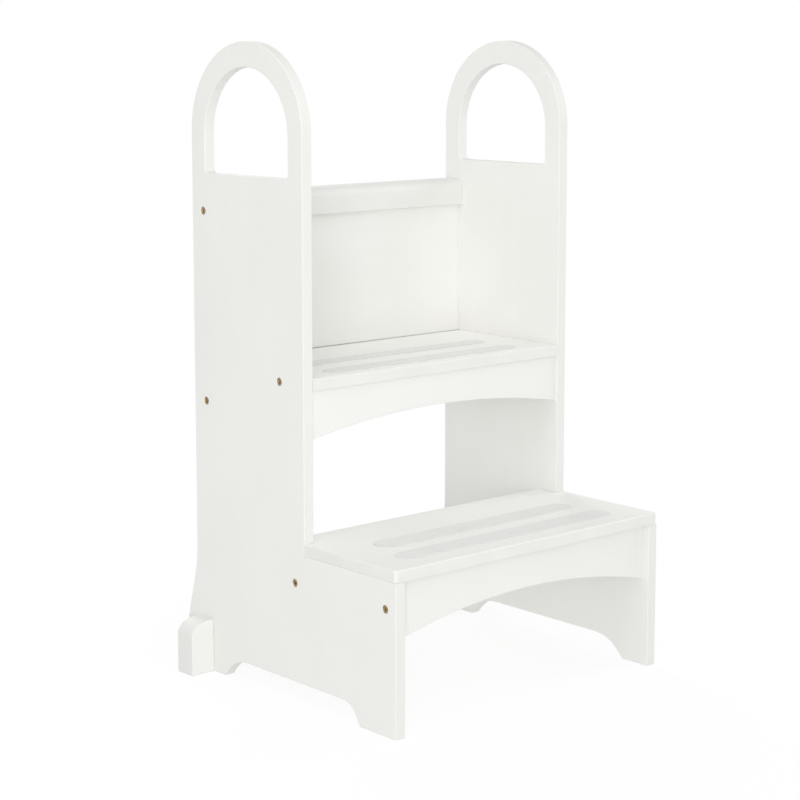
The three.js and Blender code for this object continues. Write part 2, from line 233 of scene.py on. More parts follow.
def cut_board(name, outline, axis, near, far, rim, holes=(), steps=5):
    """A board sawn to an outline between two planes, with every edge rounded over by rim (mm).

    rim may be a pair, for the near and the far face. Each point carries two values for the paint:
    "rim" is 1 in the middle of a rounded edge and 0 on the flats, where the paint doesn't wear;
    "sawn" is 1 on the sawn edges, which are painted darker as painted shade, and 0 on the broad faces.
    """
    near_rim, far_rim = rim if isinstance(rim, tuple) else (rim, rim)
    near_rows, far_rows = [], []
    for i in range(steps + 1):
        turn = math.pi / 2 * i / steps
        inset, lift = 1 - math.sin(turn), 1 - math.cos(turn)
        wear, sawn = math.sin(2 * turn), i / steps
        near_rows.append((near_rim * MM * inset, near + near_rim * MM * lift, wear, sawn))
        far_rows.append((far_rim * MM * inset, far - far_rim * MM * lift, wear, sawn))
    rows = near_rows + far_rows[::-1]
    loops = [outline] + [list(reversed(hole)) for hole in holes]
    vertices, wears, sawns, faces = [], [], [], []
    caps = {0: [], len(rows) - 1: []}
    for loop in loops:
        starts = []
        for level, (inset, w, wear, sawn) in enumerate(rows):
            starts.append(len(vertices))
            moved = offset_loop(loop, inset)
            vertices += [PLACE[axis](u, v, w) for u, v in moved]
            wears += [wear] * len(moved)
            sawns += [sawn] * len(moved)
            if level in caps:
                caps[level].append((starts[-1], moved))
        for low, high in zip(starts, starts[1:]):
            for i in range(len(loop)):
                j = (i + 1) % len(loop)
                faces.append((low + i, low + j, high + j, high + i))
    for level_loops in caps.values():
        numbers = [start + i for start, moved in level_loops for i in range(len(moved))]
        flat = [[Vector((u, v, 0)) for u, v in moved] for _, moved in level_loops]
        faces += [tuple(numbers[k] for k in corner) for corner in tessellate_polygon(flat)]
    mesh = bpy.data.meshes.new(name)
    mesh.from_pydata(vertices, [], faces)
    mesh.attributes.new("rim", "FLOAT", "POINT").data.foreach_set("value", wears)
    mesh.attributes.new("sawn", "FLOAT", "POINT").data.foreach_set("value", sawns)
    return finish_mesh(name, mesh)


def turned_mesh(name, profile, segments=48, thread=None):
    """A lathe-turned mesh along +X from (along, radius) steps in millimetres.

    thread is (start, end, pitch, cut): between start and end the surface winds in a helical groove.
    """
    start, end, pitch, cut = thread or (0, 0, 1, 0)
    vertices, faces = [], []
    for along, radius in profile:
        for i in range(segments):
            turn = 2 * math.pi * i / segments
            r = radius
            if thread and start <= along <= end:
                phase = (along / pitch - i / segments) % 1
                r = radius - cut * abs(2 * phase - 1)
            vertices.append((along * MM, r * MM * math.cos(turn), r * MM * math.sin(turn)))
    for ring in range(len(profile) - 1):
        for i in range(segments):
            j = (i + 1) % segments
            a = ring * segments
            b = a + segments
            faces.append((a + i, a + j, b + j, b + i))
    faces.append(tuple(reversed(range(segments))))
    last = (len(profile) - 1) * segments
    faces.append(tuple(range(last, last + segments)))
    mesh = bpy.data.meshes.new(name)
    mesh.from_pydata(vertices, [], faces)
    return mesh


def cutter(radius, place, axis, blind, face, mouth=0.5, segments=40):
    """A drill's swept shape: a straight bore that opens out at its mouth, for bore() to take away.

    place is where its axis stands, as the other two coordinates. The bore runs from its blind end to the
    face that it opens on, and past it; mouth (mm) is how far it opens out.
    """
    way = 1 if face > blind else -1
    flare = [(blind, radius), (face - way * mouth * MM, radius), (face, radius + mouth * MM)]
    flare.append((face + way * OVERSHOOT * MM, radius + mouth * MM))
    vertices, faces = [], []
    for w, r in flare:
        for i in range(segments):
            turn = 2 * math.pi * (i + 0.5) / segments
            u, v = place[0] + r * math.cos(turn), place[1] + r * math.sin(turn)
            vertices.append(PLACE[axis](u, v, w))
    for ring in range(len(flare) - 1):
        for i in range(segments):
            j = (i + 1) % segments
            a = ring * segments
            b = a + segments
            faces.append((a + i, a + j, b + j, b + i))
    faces.append(tuple(range(segments)))
    faces.append(tuple(range(len(vertices) - segments, len(vertices))))
    return vertices, faces


def block(low, high):
    """A square-edged box, as something to take away."""
    corners = [(x, y, z) for x in (low[0], high[0]) for y in (low[1], high[1]) for z in (low[2], high[2])]
    sides = [(0, 1, 3, 2), (4, 6, 7, 5), (0, 4, 5, 1), (2, 3, 7, 6), (0, 2, 6, 4), (1, 5, 7, 3)]
    return corners, sides


def bore(piece, cutters):
    """Takes the cutters away from a piece for good."""
    for vertices, faces in cutters:
        mesh = bpy.data.meshes.new("cutter")
        mesh.from_pydata(vertices, [], faces)
        build = bmesh.new()
        build.from_mesh(mesh)
        bmesh.ops.recalc_face_normals(build, faces=build.faces)
        build.to_mesh(mesh)
        build.free()
        tool = bpy.data.objects.new("cutter", mesh)
        bpy.context.scene.collection.objects.link(tool)
        take = piece.modifiers.new("bore", "BOOLEAN")
        take.operation = "DIFFERENCE"
        take.solver = "EXACT"
        take.object = tool
        piece.modifiers.move(len(piece.modifiers) - 1, 0)
        keep_modifier(piece, take)
        bpy.data.objects.remove(tool)
        bpy.data.meshes.remove(mesh)
    return piece


def keep_modifier(piece, modifier):
    """Applies one modifier to the piece's mesh."""
    with bpy.context.temp_override(object=piece, active_object=piece, selected_objects=[piece]):
        bpy.ops.object.modifier_apply(modifier=modifier.name)


# ---- Shader node groups ----
class Graph:
    """A node tree with short calls to add a node and join sockets."""

    def __init__(self, tree):
        self.tree = tree

    def feed(self, node, socket, value):
        """Joins a socket to another node's output, or gives it its own value."""
        if hasattr(value, "is_linked"):
            self.tree.links.new(value, node.inputs[socket])
        else:
            node.inputs[socket].default_value = value

    def add(self, kind, values=None, **settings):
        node = self.tree.nodes.new(kind)
        for key, value in settings.items():
            setattr(node, key, value)
        for socket, value in (values or {}).items():
            self.feed(node, socket, value)
        return node

    def group(self, tree, **values):
        """A placed group's outputs; a keyword's underscores stand for the spaces in its socket's name."""
        values = {label.replace("_", " "): value for label, value in values.items()}
        return self.add("ShaderNodeGroup", values, node_tree=tree).outputs

    def math(self, operation, a, b):
        return self.add("ShaderNodeMath", {0: a, 1: b}, operation=operation).outputs[0]

    def vector(self, operation, a, b):
        return self.add("ShaderNodeVectorMath", {0: a, 1: b}, operation=operation).outputs[0]

    def ramp(self, value, low, high, to_low=0.0, to_high=1.0):
        values = {"Value": value, "From Min": low, "From Max": high, "To Min": to_low, "To Max": to_high}
        return self.add("ShaderNodeMapRange", values, interpolation_type="SMOOTHSTEP").outputs[0]

    def noise(self, place, scale, detail, roughness):
        values = {"Vector": place, "Scale": scale, "Detail": detail, "Roughness": roughness}
        return self.add("ShaderNodeTexNoise", values).outputs[0]

    def point_value(self, name):
        return self.add("ShaderNodeAttribute", attribute_name=name).outputs["Fac"]

    def mix(self, amount, first, second):
        """A colour that goes from the first to the second."""
        return self.add("ShaderNodeMix", {0: amount, 6: first, 7: second}, data_type="RGBA").outputs[2]

    def tint(self, colour, mask, strength, second):
        """The colour, turned to the second by strength where the mask is 1."""
        return self.mix(self.math("MULTIPLY", mask, strength), colour, second)

    def plus(self, value, mask, strength):
        """The value, raised by strength where the mask is 1."""
        return self.math("ADD", value, self.math("MULTIPLY", mask, strength))

    def bump(self, height, strength, distance):
        values = {"Height": height, "Strength": strength, "Distance": distance}
        return self.add("ShaderNodeBump", values).outputs[0]


def new_group(name, inputs, outputs):
    """A shader node group; inputs and outputs are {name: (socket kind, starting value)} and {name: kind}."""
    tree = bpy.data.node_groups.new(name, "ShaderNodeTree")
    for label, (kind, value) in inputs.items():
        socket = tree.interface.new_socket(label, in_out="INPUT", socket_type="NodeSocket" + kind)
        if value is not None:
            socket.default_value = value
    for label, kind in outputs.items():
        tree.interface.new_socket(label, in_out="OUTPUT", socket_type="NodeSocket" + kind)
    graph = Graph(tree)
    return graph, graph.add("NodeGroupInput").outputs, graph.add("NodeGroupOutput")


def sprayed_coat_group():
    """The fine orange-peel skin of sprayed paint, with slow waves where the coat lies thicker."""
    graph, given, out = new_group(
        "sprayed coat",
        {"Place": ("Vector", None), "Peel Size": ("Float", 1.0), "Waviness": ("Float", 0.3)},
        {"Height": "Float", "Thickness": "Float"},
    )
    place = given["Place"]
    peel_scale = graph.math("DIVIDE", 620.0, given["Peel Size"])
    peel = graph.noise(place, peel_scale, detail=2.0, roughness=0.55)
    waves = graph.noise(place, 34.0, detail=2.0, roughness=0.4)
    graph.feed(out, "Height", graph.plus(peel, waves, given["Waviness"]))
    graph.feed(out, "Thickness", graph.noise(place, 7.0, detail=3.0, roughness=0.5))
    return graph.tree


def grain_group():
    """Long wood grain that wanders a little; Along stretches it down the board."""
    graph, given, out = new_group(
        "wood grain",
        {"Place": ("Vector", None), "Along": ("Vector", (1.0, 1.0, 1.0)), "Fineness": ("Float", 1.0)},
        {"Height": "Float", "Streaks": "Float"},
    )
    stretched = graph.vector("MULTIPLY", given["Place"], given["Along"])
    bend = graph.add("ShaderNodeTexNoise", {"Vector": stretched, "Scale": 3.0, "Detail": 2.0})
    wander = graph.add("ShaderNodeVectorMath", {0: bend.outputs["Color"], "Scale": 0.05}, operation="SCALE")
    bent = graph.vector("ADD", stretched, wander.outputs[0])
    fine_scale = graph.math("MULTIPLY", 260.0, given["Fineness"])
    wide_scale = graph.math("MULTIPLY", 48.0, given["Fineness"])
    fine = graph.noise(bent, fine_scale, detail=4.0, roughness=0.6)
    wide = graph.noise(bent, wide_scale, detail=3.0, roughness=0.5)
    graph.feed(out, "Height", graph.math("ADD", fine, wide))
    graph.feed(out, "Streaks", graph.ramp(wide, 0.35, 0.65))
    return graph.tree


def edge_wear_and_shade_group():
    """Where a rounded edge has been rubbed in broken patches, and a painted shade on the sawn edges."""
    graph, given, out = new_group(
        "edge wear and shade",
        {"Place": ("Vector", None), "Amount": ("Float", 0.3), "Patch Size": ("Float", 1.0)},
        {"Rubbed": "Float", "Edge Shade": "Float"},
    )
    place = given["Place"]
    patch_scale = graph.math("DIVIDE", 55.0, given["Patch Size"])
    patches = graph.noise(place, patch_scale, detail=5.0, roughness=0.65)
    reach = graph.math("ADD", patches, given["Amount"])
    rubbed = graph.math("MULTIPLY", graph.point_value("rim"), reach)
    graph.feed(out, "Rubbed", graph.ramp(rubbed, 0.86, 0.98))
    # The sawn edges in uneven patches: the mask of the painted shade on them.
    shade_patches = graph.ramp(graph.noise(place, 24.0, detail=3.0, roughness=0.5), 0.2, 0.8, 0.75, 1.0)
    graph.feed(out, "Edge Shade", graph.math("MULTIPLY", graph.point_value("sawn"), shade_patches))
    return graph.tree


def handling_group():
    """Faint smears and specks left by hands and feet."""
    graph, given, out = new_group(
        "handling marks",
        {"Place": ("Vector", None), "Amount": ("Float", 0.5)},
        {"Smears": "Float", "Specks": "Float"},
    )
    place = given["Place"]
    smears = graph.ramp(graph.noise(place, 11.0, detail=5.0, roughness=0.62), 0.42, 0.74)
    specks = graph.ramp(graph.noise(place, 190.0, detail=3.0, roughness=0.7), 0.71, 0.78)
    graph.feed(out, "Smears", graph.math("MULTIPLY", smears, given["Amount"]))
    graph.feed(out, "Specks", graph.math("MULTIPLY", specks, given["Amount"]))
    return graph.tree


def plated_metal_group():
    """Turning lines, fine scratches and dull spots of a plated fixing."""
    graph, given, out = new_group(
        "plated metal",
        {"Place": ("Vector", None), "Scratches": ("Float", 0.5)},
        {"Height": "Float", "Dullness": "Float"},
    )
    place = given["Place"]
    streaks = graph.vector("MULTIPLY", place, (9.0, 1.0, 1.0))
    lines = graph.noise(streaks, 900.0, detail=3.0, roughness=0.6)
    dull = graph.ramp(graph.noise(place, 240.0, detail=4.0, roughness=0.6), 0.4, 0.75)
    graph.feed(out, "Height", graph.math("MULTIPLY", lines, given["Scratches"]))
    graph.feed(out, "Dullness", dull)
    return graph.tree


SPRAYED_COAT = sprayed_coat_group()
WOOD_GRAIN = grain_group()
EDGE_WEAR_AND_SHADE = edge_wear_and_shade_group()
HANDLING = handling_group()
PLATED_METAL = plated_metal_group()


# ---- Materials ----
def new_material(name):
    """A material with a Principled shader; returns it, its graph, the shader and the place on the piece."""
    material = bpy.data.materials.new(name)
    material.use_nodes = True
    graph = Graph(material.node_tree)
    material.node_tree.nodes.clear()
    shader = graph.add("ShaderNodeBsdfPrincipled")
    graph.add("ShaderNodeOutputMaterial", {"Surface": shader.outputs[0]})
    place = graph.add("ShaderNodeTexCoord").outputs["Object"]
    return material, graph, shader, place


BOARD_WHITE = {"full": (0.872, 0.872, 0.845, 1.0), "thin": (0.848, 0.848, 0.818, 1.0)}
# The treads' white is brighter than the boards' white: painted light, for the extra light the treads get.
TREAD_WHITE_LIT = {"full": (0.955, 0.955, 0.930, 1.0), "thin": (0.930, 0.930, 0.903, 1.0)}
EDGE_SHADE_PAINT = (0.790, 0.790, 0.762, 1.0)
BARE_PRIMER = (0.740, 0.705, 0.635, 1.0)
# The tape's own grey, lifted in step with the treads' white as painted light.
TAPE_GREY_LIT = {"pit": (0.790, 0.790, 0.775, 1.0), "grit": (0.880, 0.880, 0.865, 1.0)}
TAPE_SMEAR = (0.73, 0.725, 0.705, 1.0)
# The tape's edges are painted darker: painted shade that dims the light they catch.
TAPE_EDGE_SHADE = (0.70, 0.70, 0.69, 1.0)
YELLOW_PLATE = {"bright": (0.50, 0.37, 0.20, 1.0), "dull": (0.30, 0.20, 0.12, 1.0)}
CLEAR_PLATE = {"bright": (0.62, 0.63, 0.64, 1.0), "dull": (0.45, 0.46, 0.47, 1.0)}
BEECH_WOOD = {"pale": (0.66, 0.46, 0.27, 1.0), "dark": (0.56, 0.36, 0.19, 1.0)}
BEECH_FLECK = (0.38, 0.22, 0.11, 1.0)


def painted_wood(name, white, along, edge_shade, wear, marks):
    """Satin off-white paint on wood, its grain running the way that along is least.

    The first amount says how much darker the sawn edges are painted, as painted shade; wear how far the
    rounded edges have rubbed through, and marks how much hands and feet have left behind.
    """
    material, graph, shader, place = new_material(name)
    coat = graph.group(SPRAYED_COAT, Place=place, Peel_Size=1.0, Waviness=0.35)
    grain = graph.group(WOOD_GRAIN, Place=place, Along=along, Fineness=1.0)
    worn_and_shaded = graph.group(EDGE_WEAR_AND_SHADE, Place=place, Amount=wear, Patch_Size=1.0)
    used = graph.group(HANDLING, Place=place, Amount=marks)

    colour = graph.mix(graph.ramp(coat["Thickness"], 0.3, 0.7), white["full"], white["thin"])
    colour = graph.tint(colour, grain["Streaks"], 0.3, white["thin"])
    # Painted shade: the sawn edges are painted darker.
    colour = graph.tint(colour, worn_and_shaded["Edge Shade"], edge_shade, EDGE_SHADE_PAINT)
    colour = graph.tint(colour, used["Specks"], 0.35, BARE_PRIMER)
    colour = graph.tint(colour, worn_and_shaded["Rubbed"], 0.5, BARE_PRIMER)
    graph.feed(shader, "Base Color", colour)

    rough = graph.ramp(coat["Thickness"], 0.2, 0.8, 0.36, 0.46)
    rough = graph.plus(rough, used["Smears"], 0.10)
    rough = graph.plus(rough, worn_and_shaded["Rubbed"], 0.25)
    rough = graph.plus(rough, worn_and_shaded["Edge Shade"], 0.15)
    graph.feed(shader, "Roughness", rough)

    height = graph.plus(coat["Height"], grain["Height"], 0.6)
    height = graph.plus(height, worn_and_shaded["Rubbed"], -1.2)
    graph.feed(shader, "Normal", graph.bump(height, strength=0.28, distance=0.00012))
    shader.inputs["IOR"].default_value = 1.5
    shader.inputs["Specular IOR Level"].default_value = 0.5
    return material


def grip_tape(name):
    """Light grey anti-slip tape: close mineral grit in a matt film. Its grey is lifted as painted light."""
    material, graph, shader, place = new_material(name)
    used = graph.group(HANDLING, Place=place, Amount=0.8)
    worn_and_shaded = graph.group(EDGE_WEAR_AND_SHADE, Place=place, Amount=0.0, Patch_Size=0.5)
    grains = graph.add("ShaderNodeTexVoronoi", {"Vector": place, "Scale": 1500.0}).outputs["Distance"]
    lumps = graph.noise(place, 900.0, detail=3.0, roughness=0.7)
    grit = graph.math("ADD", grains, lumps)

    colour = graph.mix(graph.ramp(grit, 0.5, 1.3), TAPE_GREY_LIT["pit"], TAPE_GREY_LIT["grit"])
    colour = graph.tint(colour, used["Smears"], 0.25, TAPE_SMEAR)
    # Painted shade: the tape's edges are painted darker.
    colour = graph.mix(worn_and_shaded["Edge Shade"], colour, TAPE_EDGE_SHADE)
    graph.feed(shader, "Base Color", colour)
    graph.feed(shader, "Roughness", graph.ramp(lumps, 0.3, 0.7, 0.72, 0.9))
    graph.feed(shader, "Normal", graph.bump(grit, strength=0.5, distance=0.00025))
    return material


def plated_steel(name, plate, rough):
    """Zinc-plated steel, clear or yellow."""
    material, graph, shader, place = new_material(name)
    finish = graph.group(PLATED_METAL, Place=place, Scratches=0.6)
    graph.feed(shader, "Base Color", graph.mix(finish["Dullness"], plate["bright"], plate["dull"]))
    graph.feed(shader, "Roughness", graph.ramp(finish["Dullness"], 0, 1, rough, rough + 0.2))
    graph.feed(shader, "Normal", graph.bump(finish["Height"], strength=0.35, distance=0.00006))
    shader.inputs["Metallic"].default_value = 1.0
    return material


def bare_beech(name):
    """Bare beech with its short dark flecks."""
    material, graph, shader, place = new_material(name)
    grain = graph.group(WOOD_GRAIN, Place=place, Along=(0.12, 1.0, 1.0), Fineness=3.0)
    flecks = graph.ramp(graph.noise(place, 700.0, detail=2.0, roughness=0.5), 0.58, 0.68)
    colour = graph.mix(grain["Streaks"], BEECH_WOOD["pale"], BEECH_WOOD["dark"])
    graph.feed(shader, "Base Color", graph.tint(colour, flecks, 0.5, BEECH_FLECK))
    graph.feed(shader, "Roughness", graph.ramp(grain["Streaks"], 0, 1, 0.6, 0.75))
    graph.feed(shader, "Normal", graph.bump(grain["Height"], strength=0.4, distance=0.0001))
    return material


UPRIGHT, ACROSS = (1.0, 1.0, 0.06), (0.06, 1.0, 1.0)
# The sawn edges of every painted board are painted darker as painted shade; the rail's and the treads'
# fully.
PAINT_UPRIGHT = painted_wood(
    "satin white paint on the uprights", BOARD_WHITE, UPRIGHT, edge_shade=0.7, wear=0.24, marks=0.5
)
PAINT_ACROSS = painted_wood(
    "satin white paint on the cross boards", BOARD_WHITE, ACROSS, edge_shade=0.7, wear=0.24, marks=0.6
)
PAINT_RAIL = painted_wood(
    "satin white paint on the top rail", BOARD_WHITE, ACROSS, edge_shade=1.0, wear=0.24, marks=0.6
)
# The treads take the brighter white: painted light.
PAINT_TREAD = painted_wood(
    "satin white paint on the treads", TREAD_WHITE_LIT, ACROSS, edge_shade=1.0, wear=0.28, marks=1.0
)
GRIP_TAPE = grip_tape("light grey grip tape")
YELLOW_ZINC = plated_steel("yellow zinc plate", YELLOW_PLATE, rough=0.36)
BRIGHT_ZINC = plated_steel("bright zinc plate", CLEAR_PLATE, rough=0.28)
BEECH = bare_beech("bare beech")


def take_place(piece, node, material):
    """The finished piece stands for a solid of the frame, rides with it and takes its finish."""
    piece.data.materials.clear()
    piece.data.materials.append(material)
    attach(piece, "root")
    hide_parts(node)
    return piece


def painted(piece, node, material):
    return take_place(piece, node, material)


# ---- Where the fixings are, read from the frame ----
def middle(node):
    low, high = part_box(node)
    return (low + high) / 2


JOINTS = ("top_rail", "upper_rear_rail", "upper_step", "lower_rear_rail", "lower_apron")
SIDES = (("left", -1), ("right", 1))
PANEL_INNER, PANEL_OUTER = (corner.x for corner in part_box("side_panel_right"))
CROSS_END = PANEL_INNER - SEAM * MM
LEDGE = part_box("lower_step_board")[0].z - SEAM * MM


def across_bore(radius, node, blind, face, mouth=0.5):
    """The bore from side to side that a fixing of the frame lies in."""
    centre = middle(node)
    return cutter(radius * MM, (centre.y, centre.z), "X", blind, face, mouth)


def upright_bore(radius, node, blind, face, mouth=0.5):
    """The bore up or down that a standing fixing of the frame lies in."""
    centre = middle(node)
    return cutter(radius * MM, (centre.x, centre.y), "Z", blind, face, mouth)


def end_bores(joint):
    """The bolt, barrel nut and dowel bores at both ends of one cross member."""
    cutters = []
    member_low, member_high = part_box("upper_step_board" if joint == "upper_step" else joint)
    for side, sign in SIDES:
        face = sign * CROSS_END
        bolt_end = sign * (PANEL_INNER - BOLT_BORE_DEPTH * MM)
        dowel_end = sign * (PANEL_INNER - DOWEL_IN_BOARD * MM)
        cutters.append(across_bore(BOLT_BORE, f"bolt_{joint}_{side}", bolt_end, face))
        cutters.append(across_bore(DOWEL_BORE, f"dowel_{joint}_{side}", dowel_end, face))
        nut = f"barrel_nut_{joint}_{side}"
        nut_low, nut_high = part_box(nut)
        if joint == "upper_step":
            cutters.append(upright_bore(NUT_BORE, nut, nut_high.z + NUT_TOP_ROOM * MM, member_low.z))
        else:
            place = (middle(nut).x, middle(nut).z)
            cutters.append(cutter(NUT_BORE * MM, place, "Y", nut_low.y - NUT_END_ROOM * MM, member_high.y))
    return cutters


# ---- Side panels ----
def side_panel_outline(front_foot):
    def at(d, z):
        return (depth(d), z * MM)

    (toe_1, toe_up_1), (toe_2, toe_up_2) = TOE_HANDLES
    (crook_1, crook_up_1), (crook_2, crook_up_2) = CUTOUT_HANDLES
    (flare_1, flare_up_1), (flare_2, flare_up_2) = FLARE_HANDLES
    lean = CUTOUT_FRONT - front_foot
    points = [at(0, 0), at(front_foot, 0)]
    points += sweep(
        at(front_foot, 0),
        at(front_foot + toe_1 * lean, toe_up_1 * CUTOUT_HEIGHT),
        at(front_foot + toe_2 * lean, toe_up_2 * CUTOUT_HEIGHT),
        at(CUTOUT_FRONT, CUTOUT_HEIGHT),
        steps=24,
    )
    points.append(at(CUTOUT_BACK, CUTOUT_HEIGHT))
    points += sweep(
        at(CUTOUT_BACK, CUTOUT_HEIGHT),
        at(CUTOUT_BACK + crook_1, CUTOUT_HEIGHT + crook_up_1),
        at(REAR_FOOT_START + crook_2, crook_up_2),
        at(REAR_FOOT_START, 0),
        steps=24,
    )
    heel = (cad_high.y - cad_low.y) / MM
    bend, bend_height = FLARE_BEND
    points += [at(heel + back, up) for back, up in HEEL_CORNERS]
    points.append(at(bend, bend_height))
    points += sweep(
        at(bend, bend_height),
        at(bend + flare_1, bend_height + flare_up_1),
        at(UPRIGHT_BACK + flare_2, FLARE_START + flare_up_2),
        at(UPRIGHT_BACK, FLARE_START),
        steps=28,
    )
    arch_radius = (UPRIGHT_BACK - UPRIGHT_FRONT) / 2
    arch_height = cad_high.z / MM - arch_radius
    arch_middle = depth((UPRIGHT_BACK + UPRIGHT_FRONT) / 2)
    points += arc(arch_middle, arch_height * MM, arch_radius * MM, 0, 180, steps=96)
    points += [(depth(UPRIGHT_FRONT), LEDGE), (depth(0), LEDGE)]
    return points


def hand_hole_outline():
    left, right = UPRIGHT_FRONT + LOOP_WIDTH, UPRIGHT_BACK - LOOP_WIDTH
    radius = (right - left) / 2
    corner = HAND_HOLE_CORNER * MM
    sill = HAND_HOLE_BOTTOM * MM
    points = rounded_corner(depth(right), sill, corner, 270)
    points += arc(depth((left + right) / 2), (HAND_HOLE_TOP - radius) * MM, radius * MM, 0, 180, steps=80)
    points += rounded_corner(depth(left), sill, corner, 180)
    return points


def side_panel(side, sign):
    node = f"side_panel_{side}"
    low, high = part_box(node)
    outline = side_panel_outline(FRONT_FOOT_LENGTH[side])
    panel = cut_board(f"{side}_side_panel", outline, "X", low.x, high.x, PANEL_RIM, [hand_hole_outline()])
    outside, inside = sign * PANEL_OUTER, sign * PANEL_INNER
    seat = outside - sign * BOLT_SEAT_DEPTH * MM
    bolt_start = seat + sign * BORE_OVERLAP * MM
    dowel_end = inside + sign * DOWEL_IN_PANEL * MM
    screw_start = outside + sign * SCREW_OVERRUN * MM
    cutters = []
    for joint in JOINTS:
        bolt = f"bolt_{joint}_{side}"
        cutters.append(across_bore(COUNTERBORE, bolt, seat, outside, mouth=0.35))
        cutters.append(across_bore(BOLT_BORE, bolt, bolt_start, inside, mouth=0.3))
    for joint in (*JOINTS, "upper_apron"):
        cutters.append(across_bore(DOWEL_BORE, f"dowel_{joint}_{side}", dowel_end, inside, mouth=0.4))
    for end in ("front", "rear"):
        pin = f"dowel_lower_step_{end}_{side}"
        cutters.append(upright_bore(DOWEL_BORE, pin, LEDGE - DOWEL_IN_LEDGE * MM, LEDGE, mouth=0.4))
    for level in ("lower", "upper"):
        screw = f"foot_screw_{level}_{side}"
        cutters.append(across_bore(SCREW_BORE, screw, screw_start, inside, mouth=SCREW_SINK))
    bore(panel, cutters)
    return painted(panel, node, PAINT_UPRIGHT)


# ---- Treads ----
def lower_step():
    low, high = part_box("lower_step_board")
    notch = depth(UPRIGHT_FRONT - SEAM)
    corner = TREAD_CORNER * MM
    points = rounded_corner(high.x, low.y, corner, 270)
    points += [(high.x, notch), (CROSS_END, notch), (CROSS_END, high.y)]
    points += [(-CROSS_END, high.y), (-CROSS_END, notch), (low.x, notch)]
    points += rounded_corner(low.x, low.y, corner, 180)
    board = cut_board("lower_step", points, "Z", low.z, high.z, TREAD_RIMS)
    pins = []
    for side, _ in SIDES:
        for end in ("front", "rear"):
            pin = f"dowel_lower_step_{end}_{side}"
            pins.append(upright_bore(DOWEL_BORE, pin, low.z + DOWEL_IN_TREAD * MM, low.z, mouth=0.4))
    bore(board, pins)
    return painted(board, "lower_step_board", PAINT_TREAD)


def upper_step():
    low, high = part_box("upper_step_board")
    points = [(CROSS_END, low.y), (CROSS_END, high.y), (-CROSS_END, high.y), (-CROSS_END, low.y)]
    board = cut_board("upper_step", points, "Z", low.z, high.z, TREAD_RIMS)
    back_low, back_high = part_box("back_panel")
    groove = block(
        (low.x - CLEAR * MM, back_low.y - GROOVE_FRONT_SLACK * MM, back_low.z - GROOVE_SLACK * MM),
        (high.x + CLEAR * MM, back_high.y + GROOVE_SLACK * MM, high.z + CLEAR * MM),
    )
    bore(board, [groove, *end_bores("upper_step")])
    return painted(board, "upper_step_board", PAINT_TREAD)


def grip_strip(node):
    low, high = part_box(node)
    radius = (high.y - low.y) / 2
    centre = (high.y + low.y) / 2
    points = arc(high.x - radius, centre, radius, -90, 90, steps=28)
    points += arc(low.x + radius, centre, radius, 90, 270, steps=28)
    name = node.replace("grip_strip", "grip_tape")
    strip = cut_board(name, points, "Z", low.z - TAPE_SUNK * MM, high.z, TAPE_RIM, steps=3)
    return take_place(strip, node, GRIP_TAPE)


# ---- Aprons and rails ----
def cross_member(node, piece_name, arch=None):
    """A board across the stool; arch gives the heights in mm of its lower edge's ends and crown."""
    low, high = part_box(node)
    top = high.z + (FRAME_SEAM - SEAM) * MM
    points = [(-CROSS_END, low.z), (CROSS_END, low.z)]
    if arch:
        rise = (arch["crown"] - arch["ends"]) * MM
        radius = (CROSS_END**2 + rise**2) / (2 * rise)
        half = math.degrees(math.asin(CROSS_END / radius))
        points = arc(0, arch["crown"] * MM - radius, radius, 90 + half, 90 - half, steps=72)
    points += [(CROSS_END, top), (-CROSS_END, top)]
    return cut_board(piece_name, points, "Y", low.y, high.y, CROSS_RIM)


def lower_apron():
    board = cross_member("lower_apron", "lower_apron_board", LOWER_ARCH)
    bore(board, end_bores("lower_apron"))
    return painted(board, "lower_apron", PAINT_ACROSS)


def upper_apron():
    board = cross_member("upper_apron", "upper_apron_board", UPPER_ARCH)
    pins = []
    for side, sign in SIDES:
        blind = sign * (PANEL_INNER - DOWEL_IN_BOARD * MM)
        pins.append(across_bore(DOWEL_BORE, f"dowel_upper_apron_{side}", blind, sign * CROSS_END))
    bore(board, pins)
    return painted(board, "upper_apron", PAINT_ACROSS)


def rear_rail(node):
    board = cross_member(node, f"{node}_board")
    bore(board, end_bores(node))
    return painted(board, node, PAINT_ACROSS)


def top_rail():
    """A moulding sawn across X, so all its long faces count as sawn edges and take their painted shade."""
    low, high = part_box("top_rail")
    round_y, round_z = RAIL_ROUND["depth"] * MM, RAIL_ROUND["height"] * MM
    edge = PANEL_RIM * MM
    points = rounded_corner(low.y, low.z, edge, 180)
    points += rounded_corner(high.y, low.z, edge, 270)
    points += rounded_corner(high.y, high.z, edge, 0)
    points += arc(low.y + round_y, high.z - round_z, round_y, 90, 180, steps=20, radius_v=round_z)
    rail = cut_board("top_rail_moulding", points, "X", -CROSS_END, CROSS_END, END_RIM)
    back_low, back_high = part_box("back_panel")
    slack = GROOVE_SLACK * MM
    groove = block(
        (low.x - CLEAR * MM, back_low.y - slack, low.z - CLEAR * MM),
        (high.x + CLEAR * MM, back_high.y + slack, back_high.z + slack),
    )
    bore(rail, [groove, *end_bores("top_rail")])
    return painted(rail, "top_rail", PAINT_RAIL)


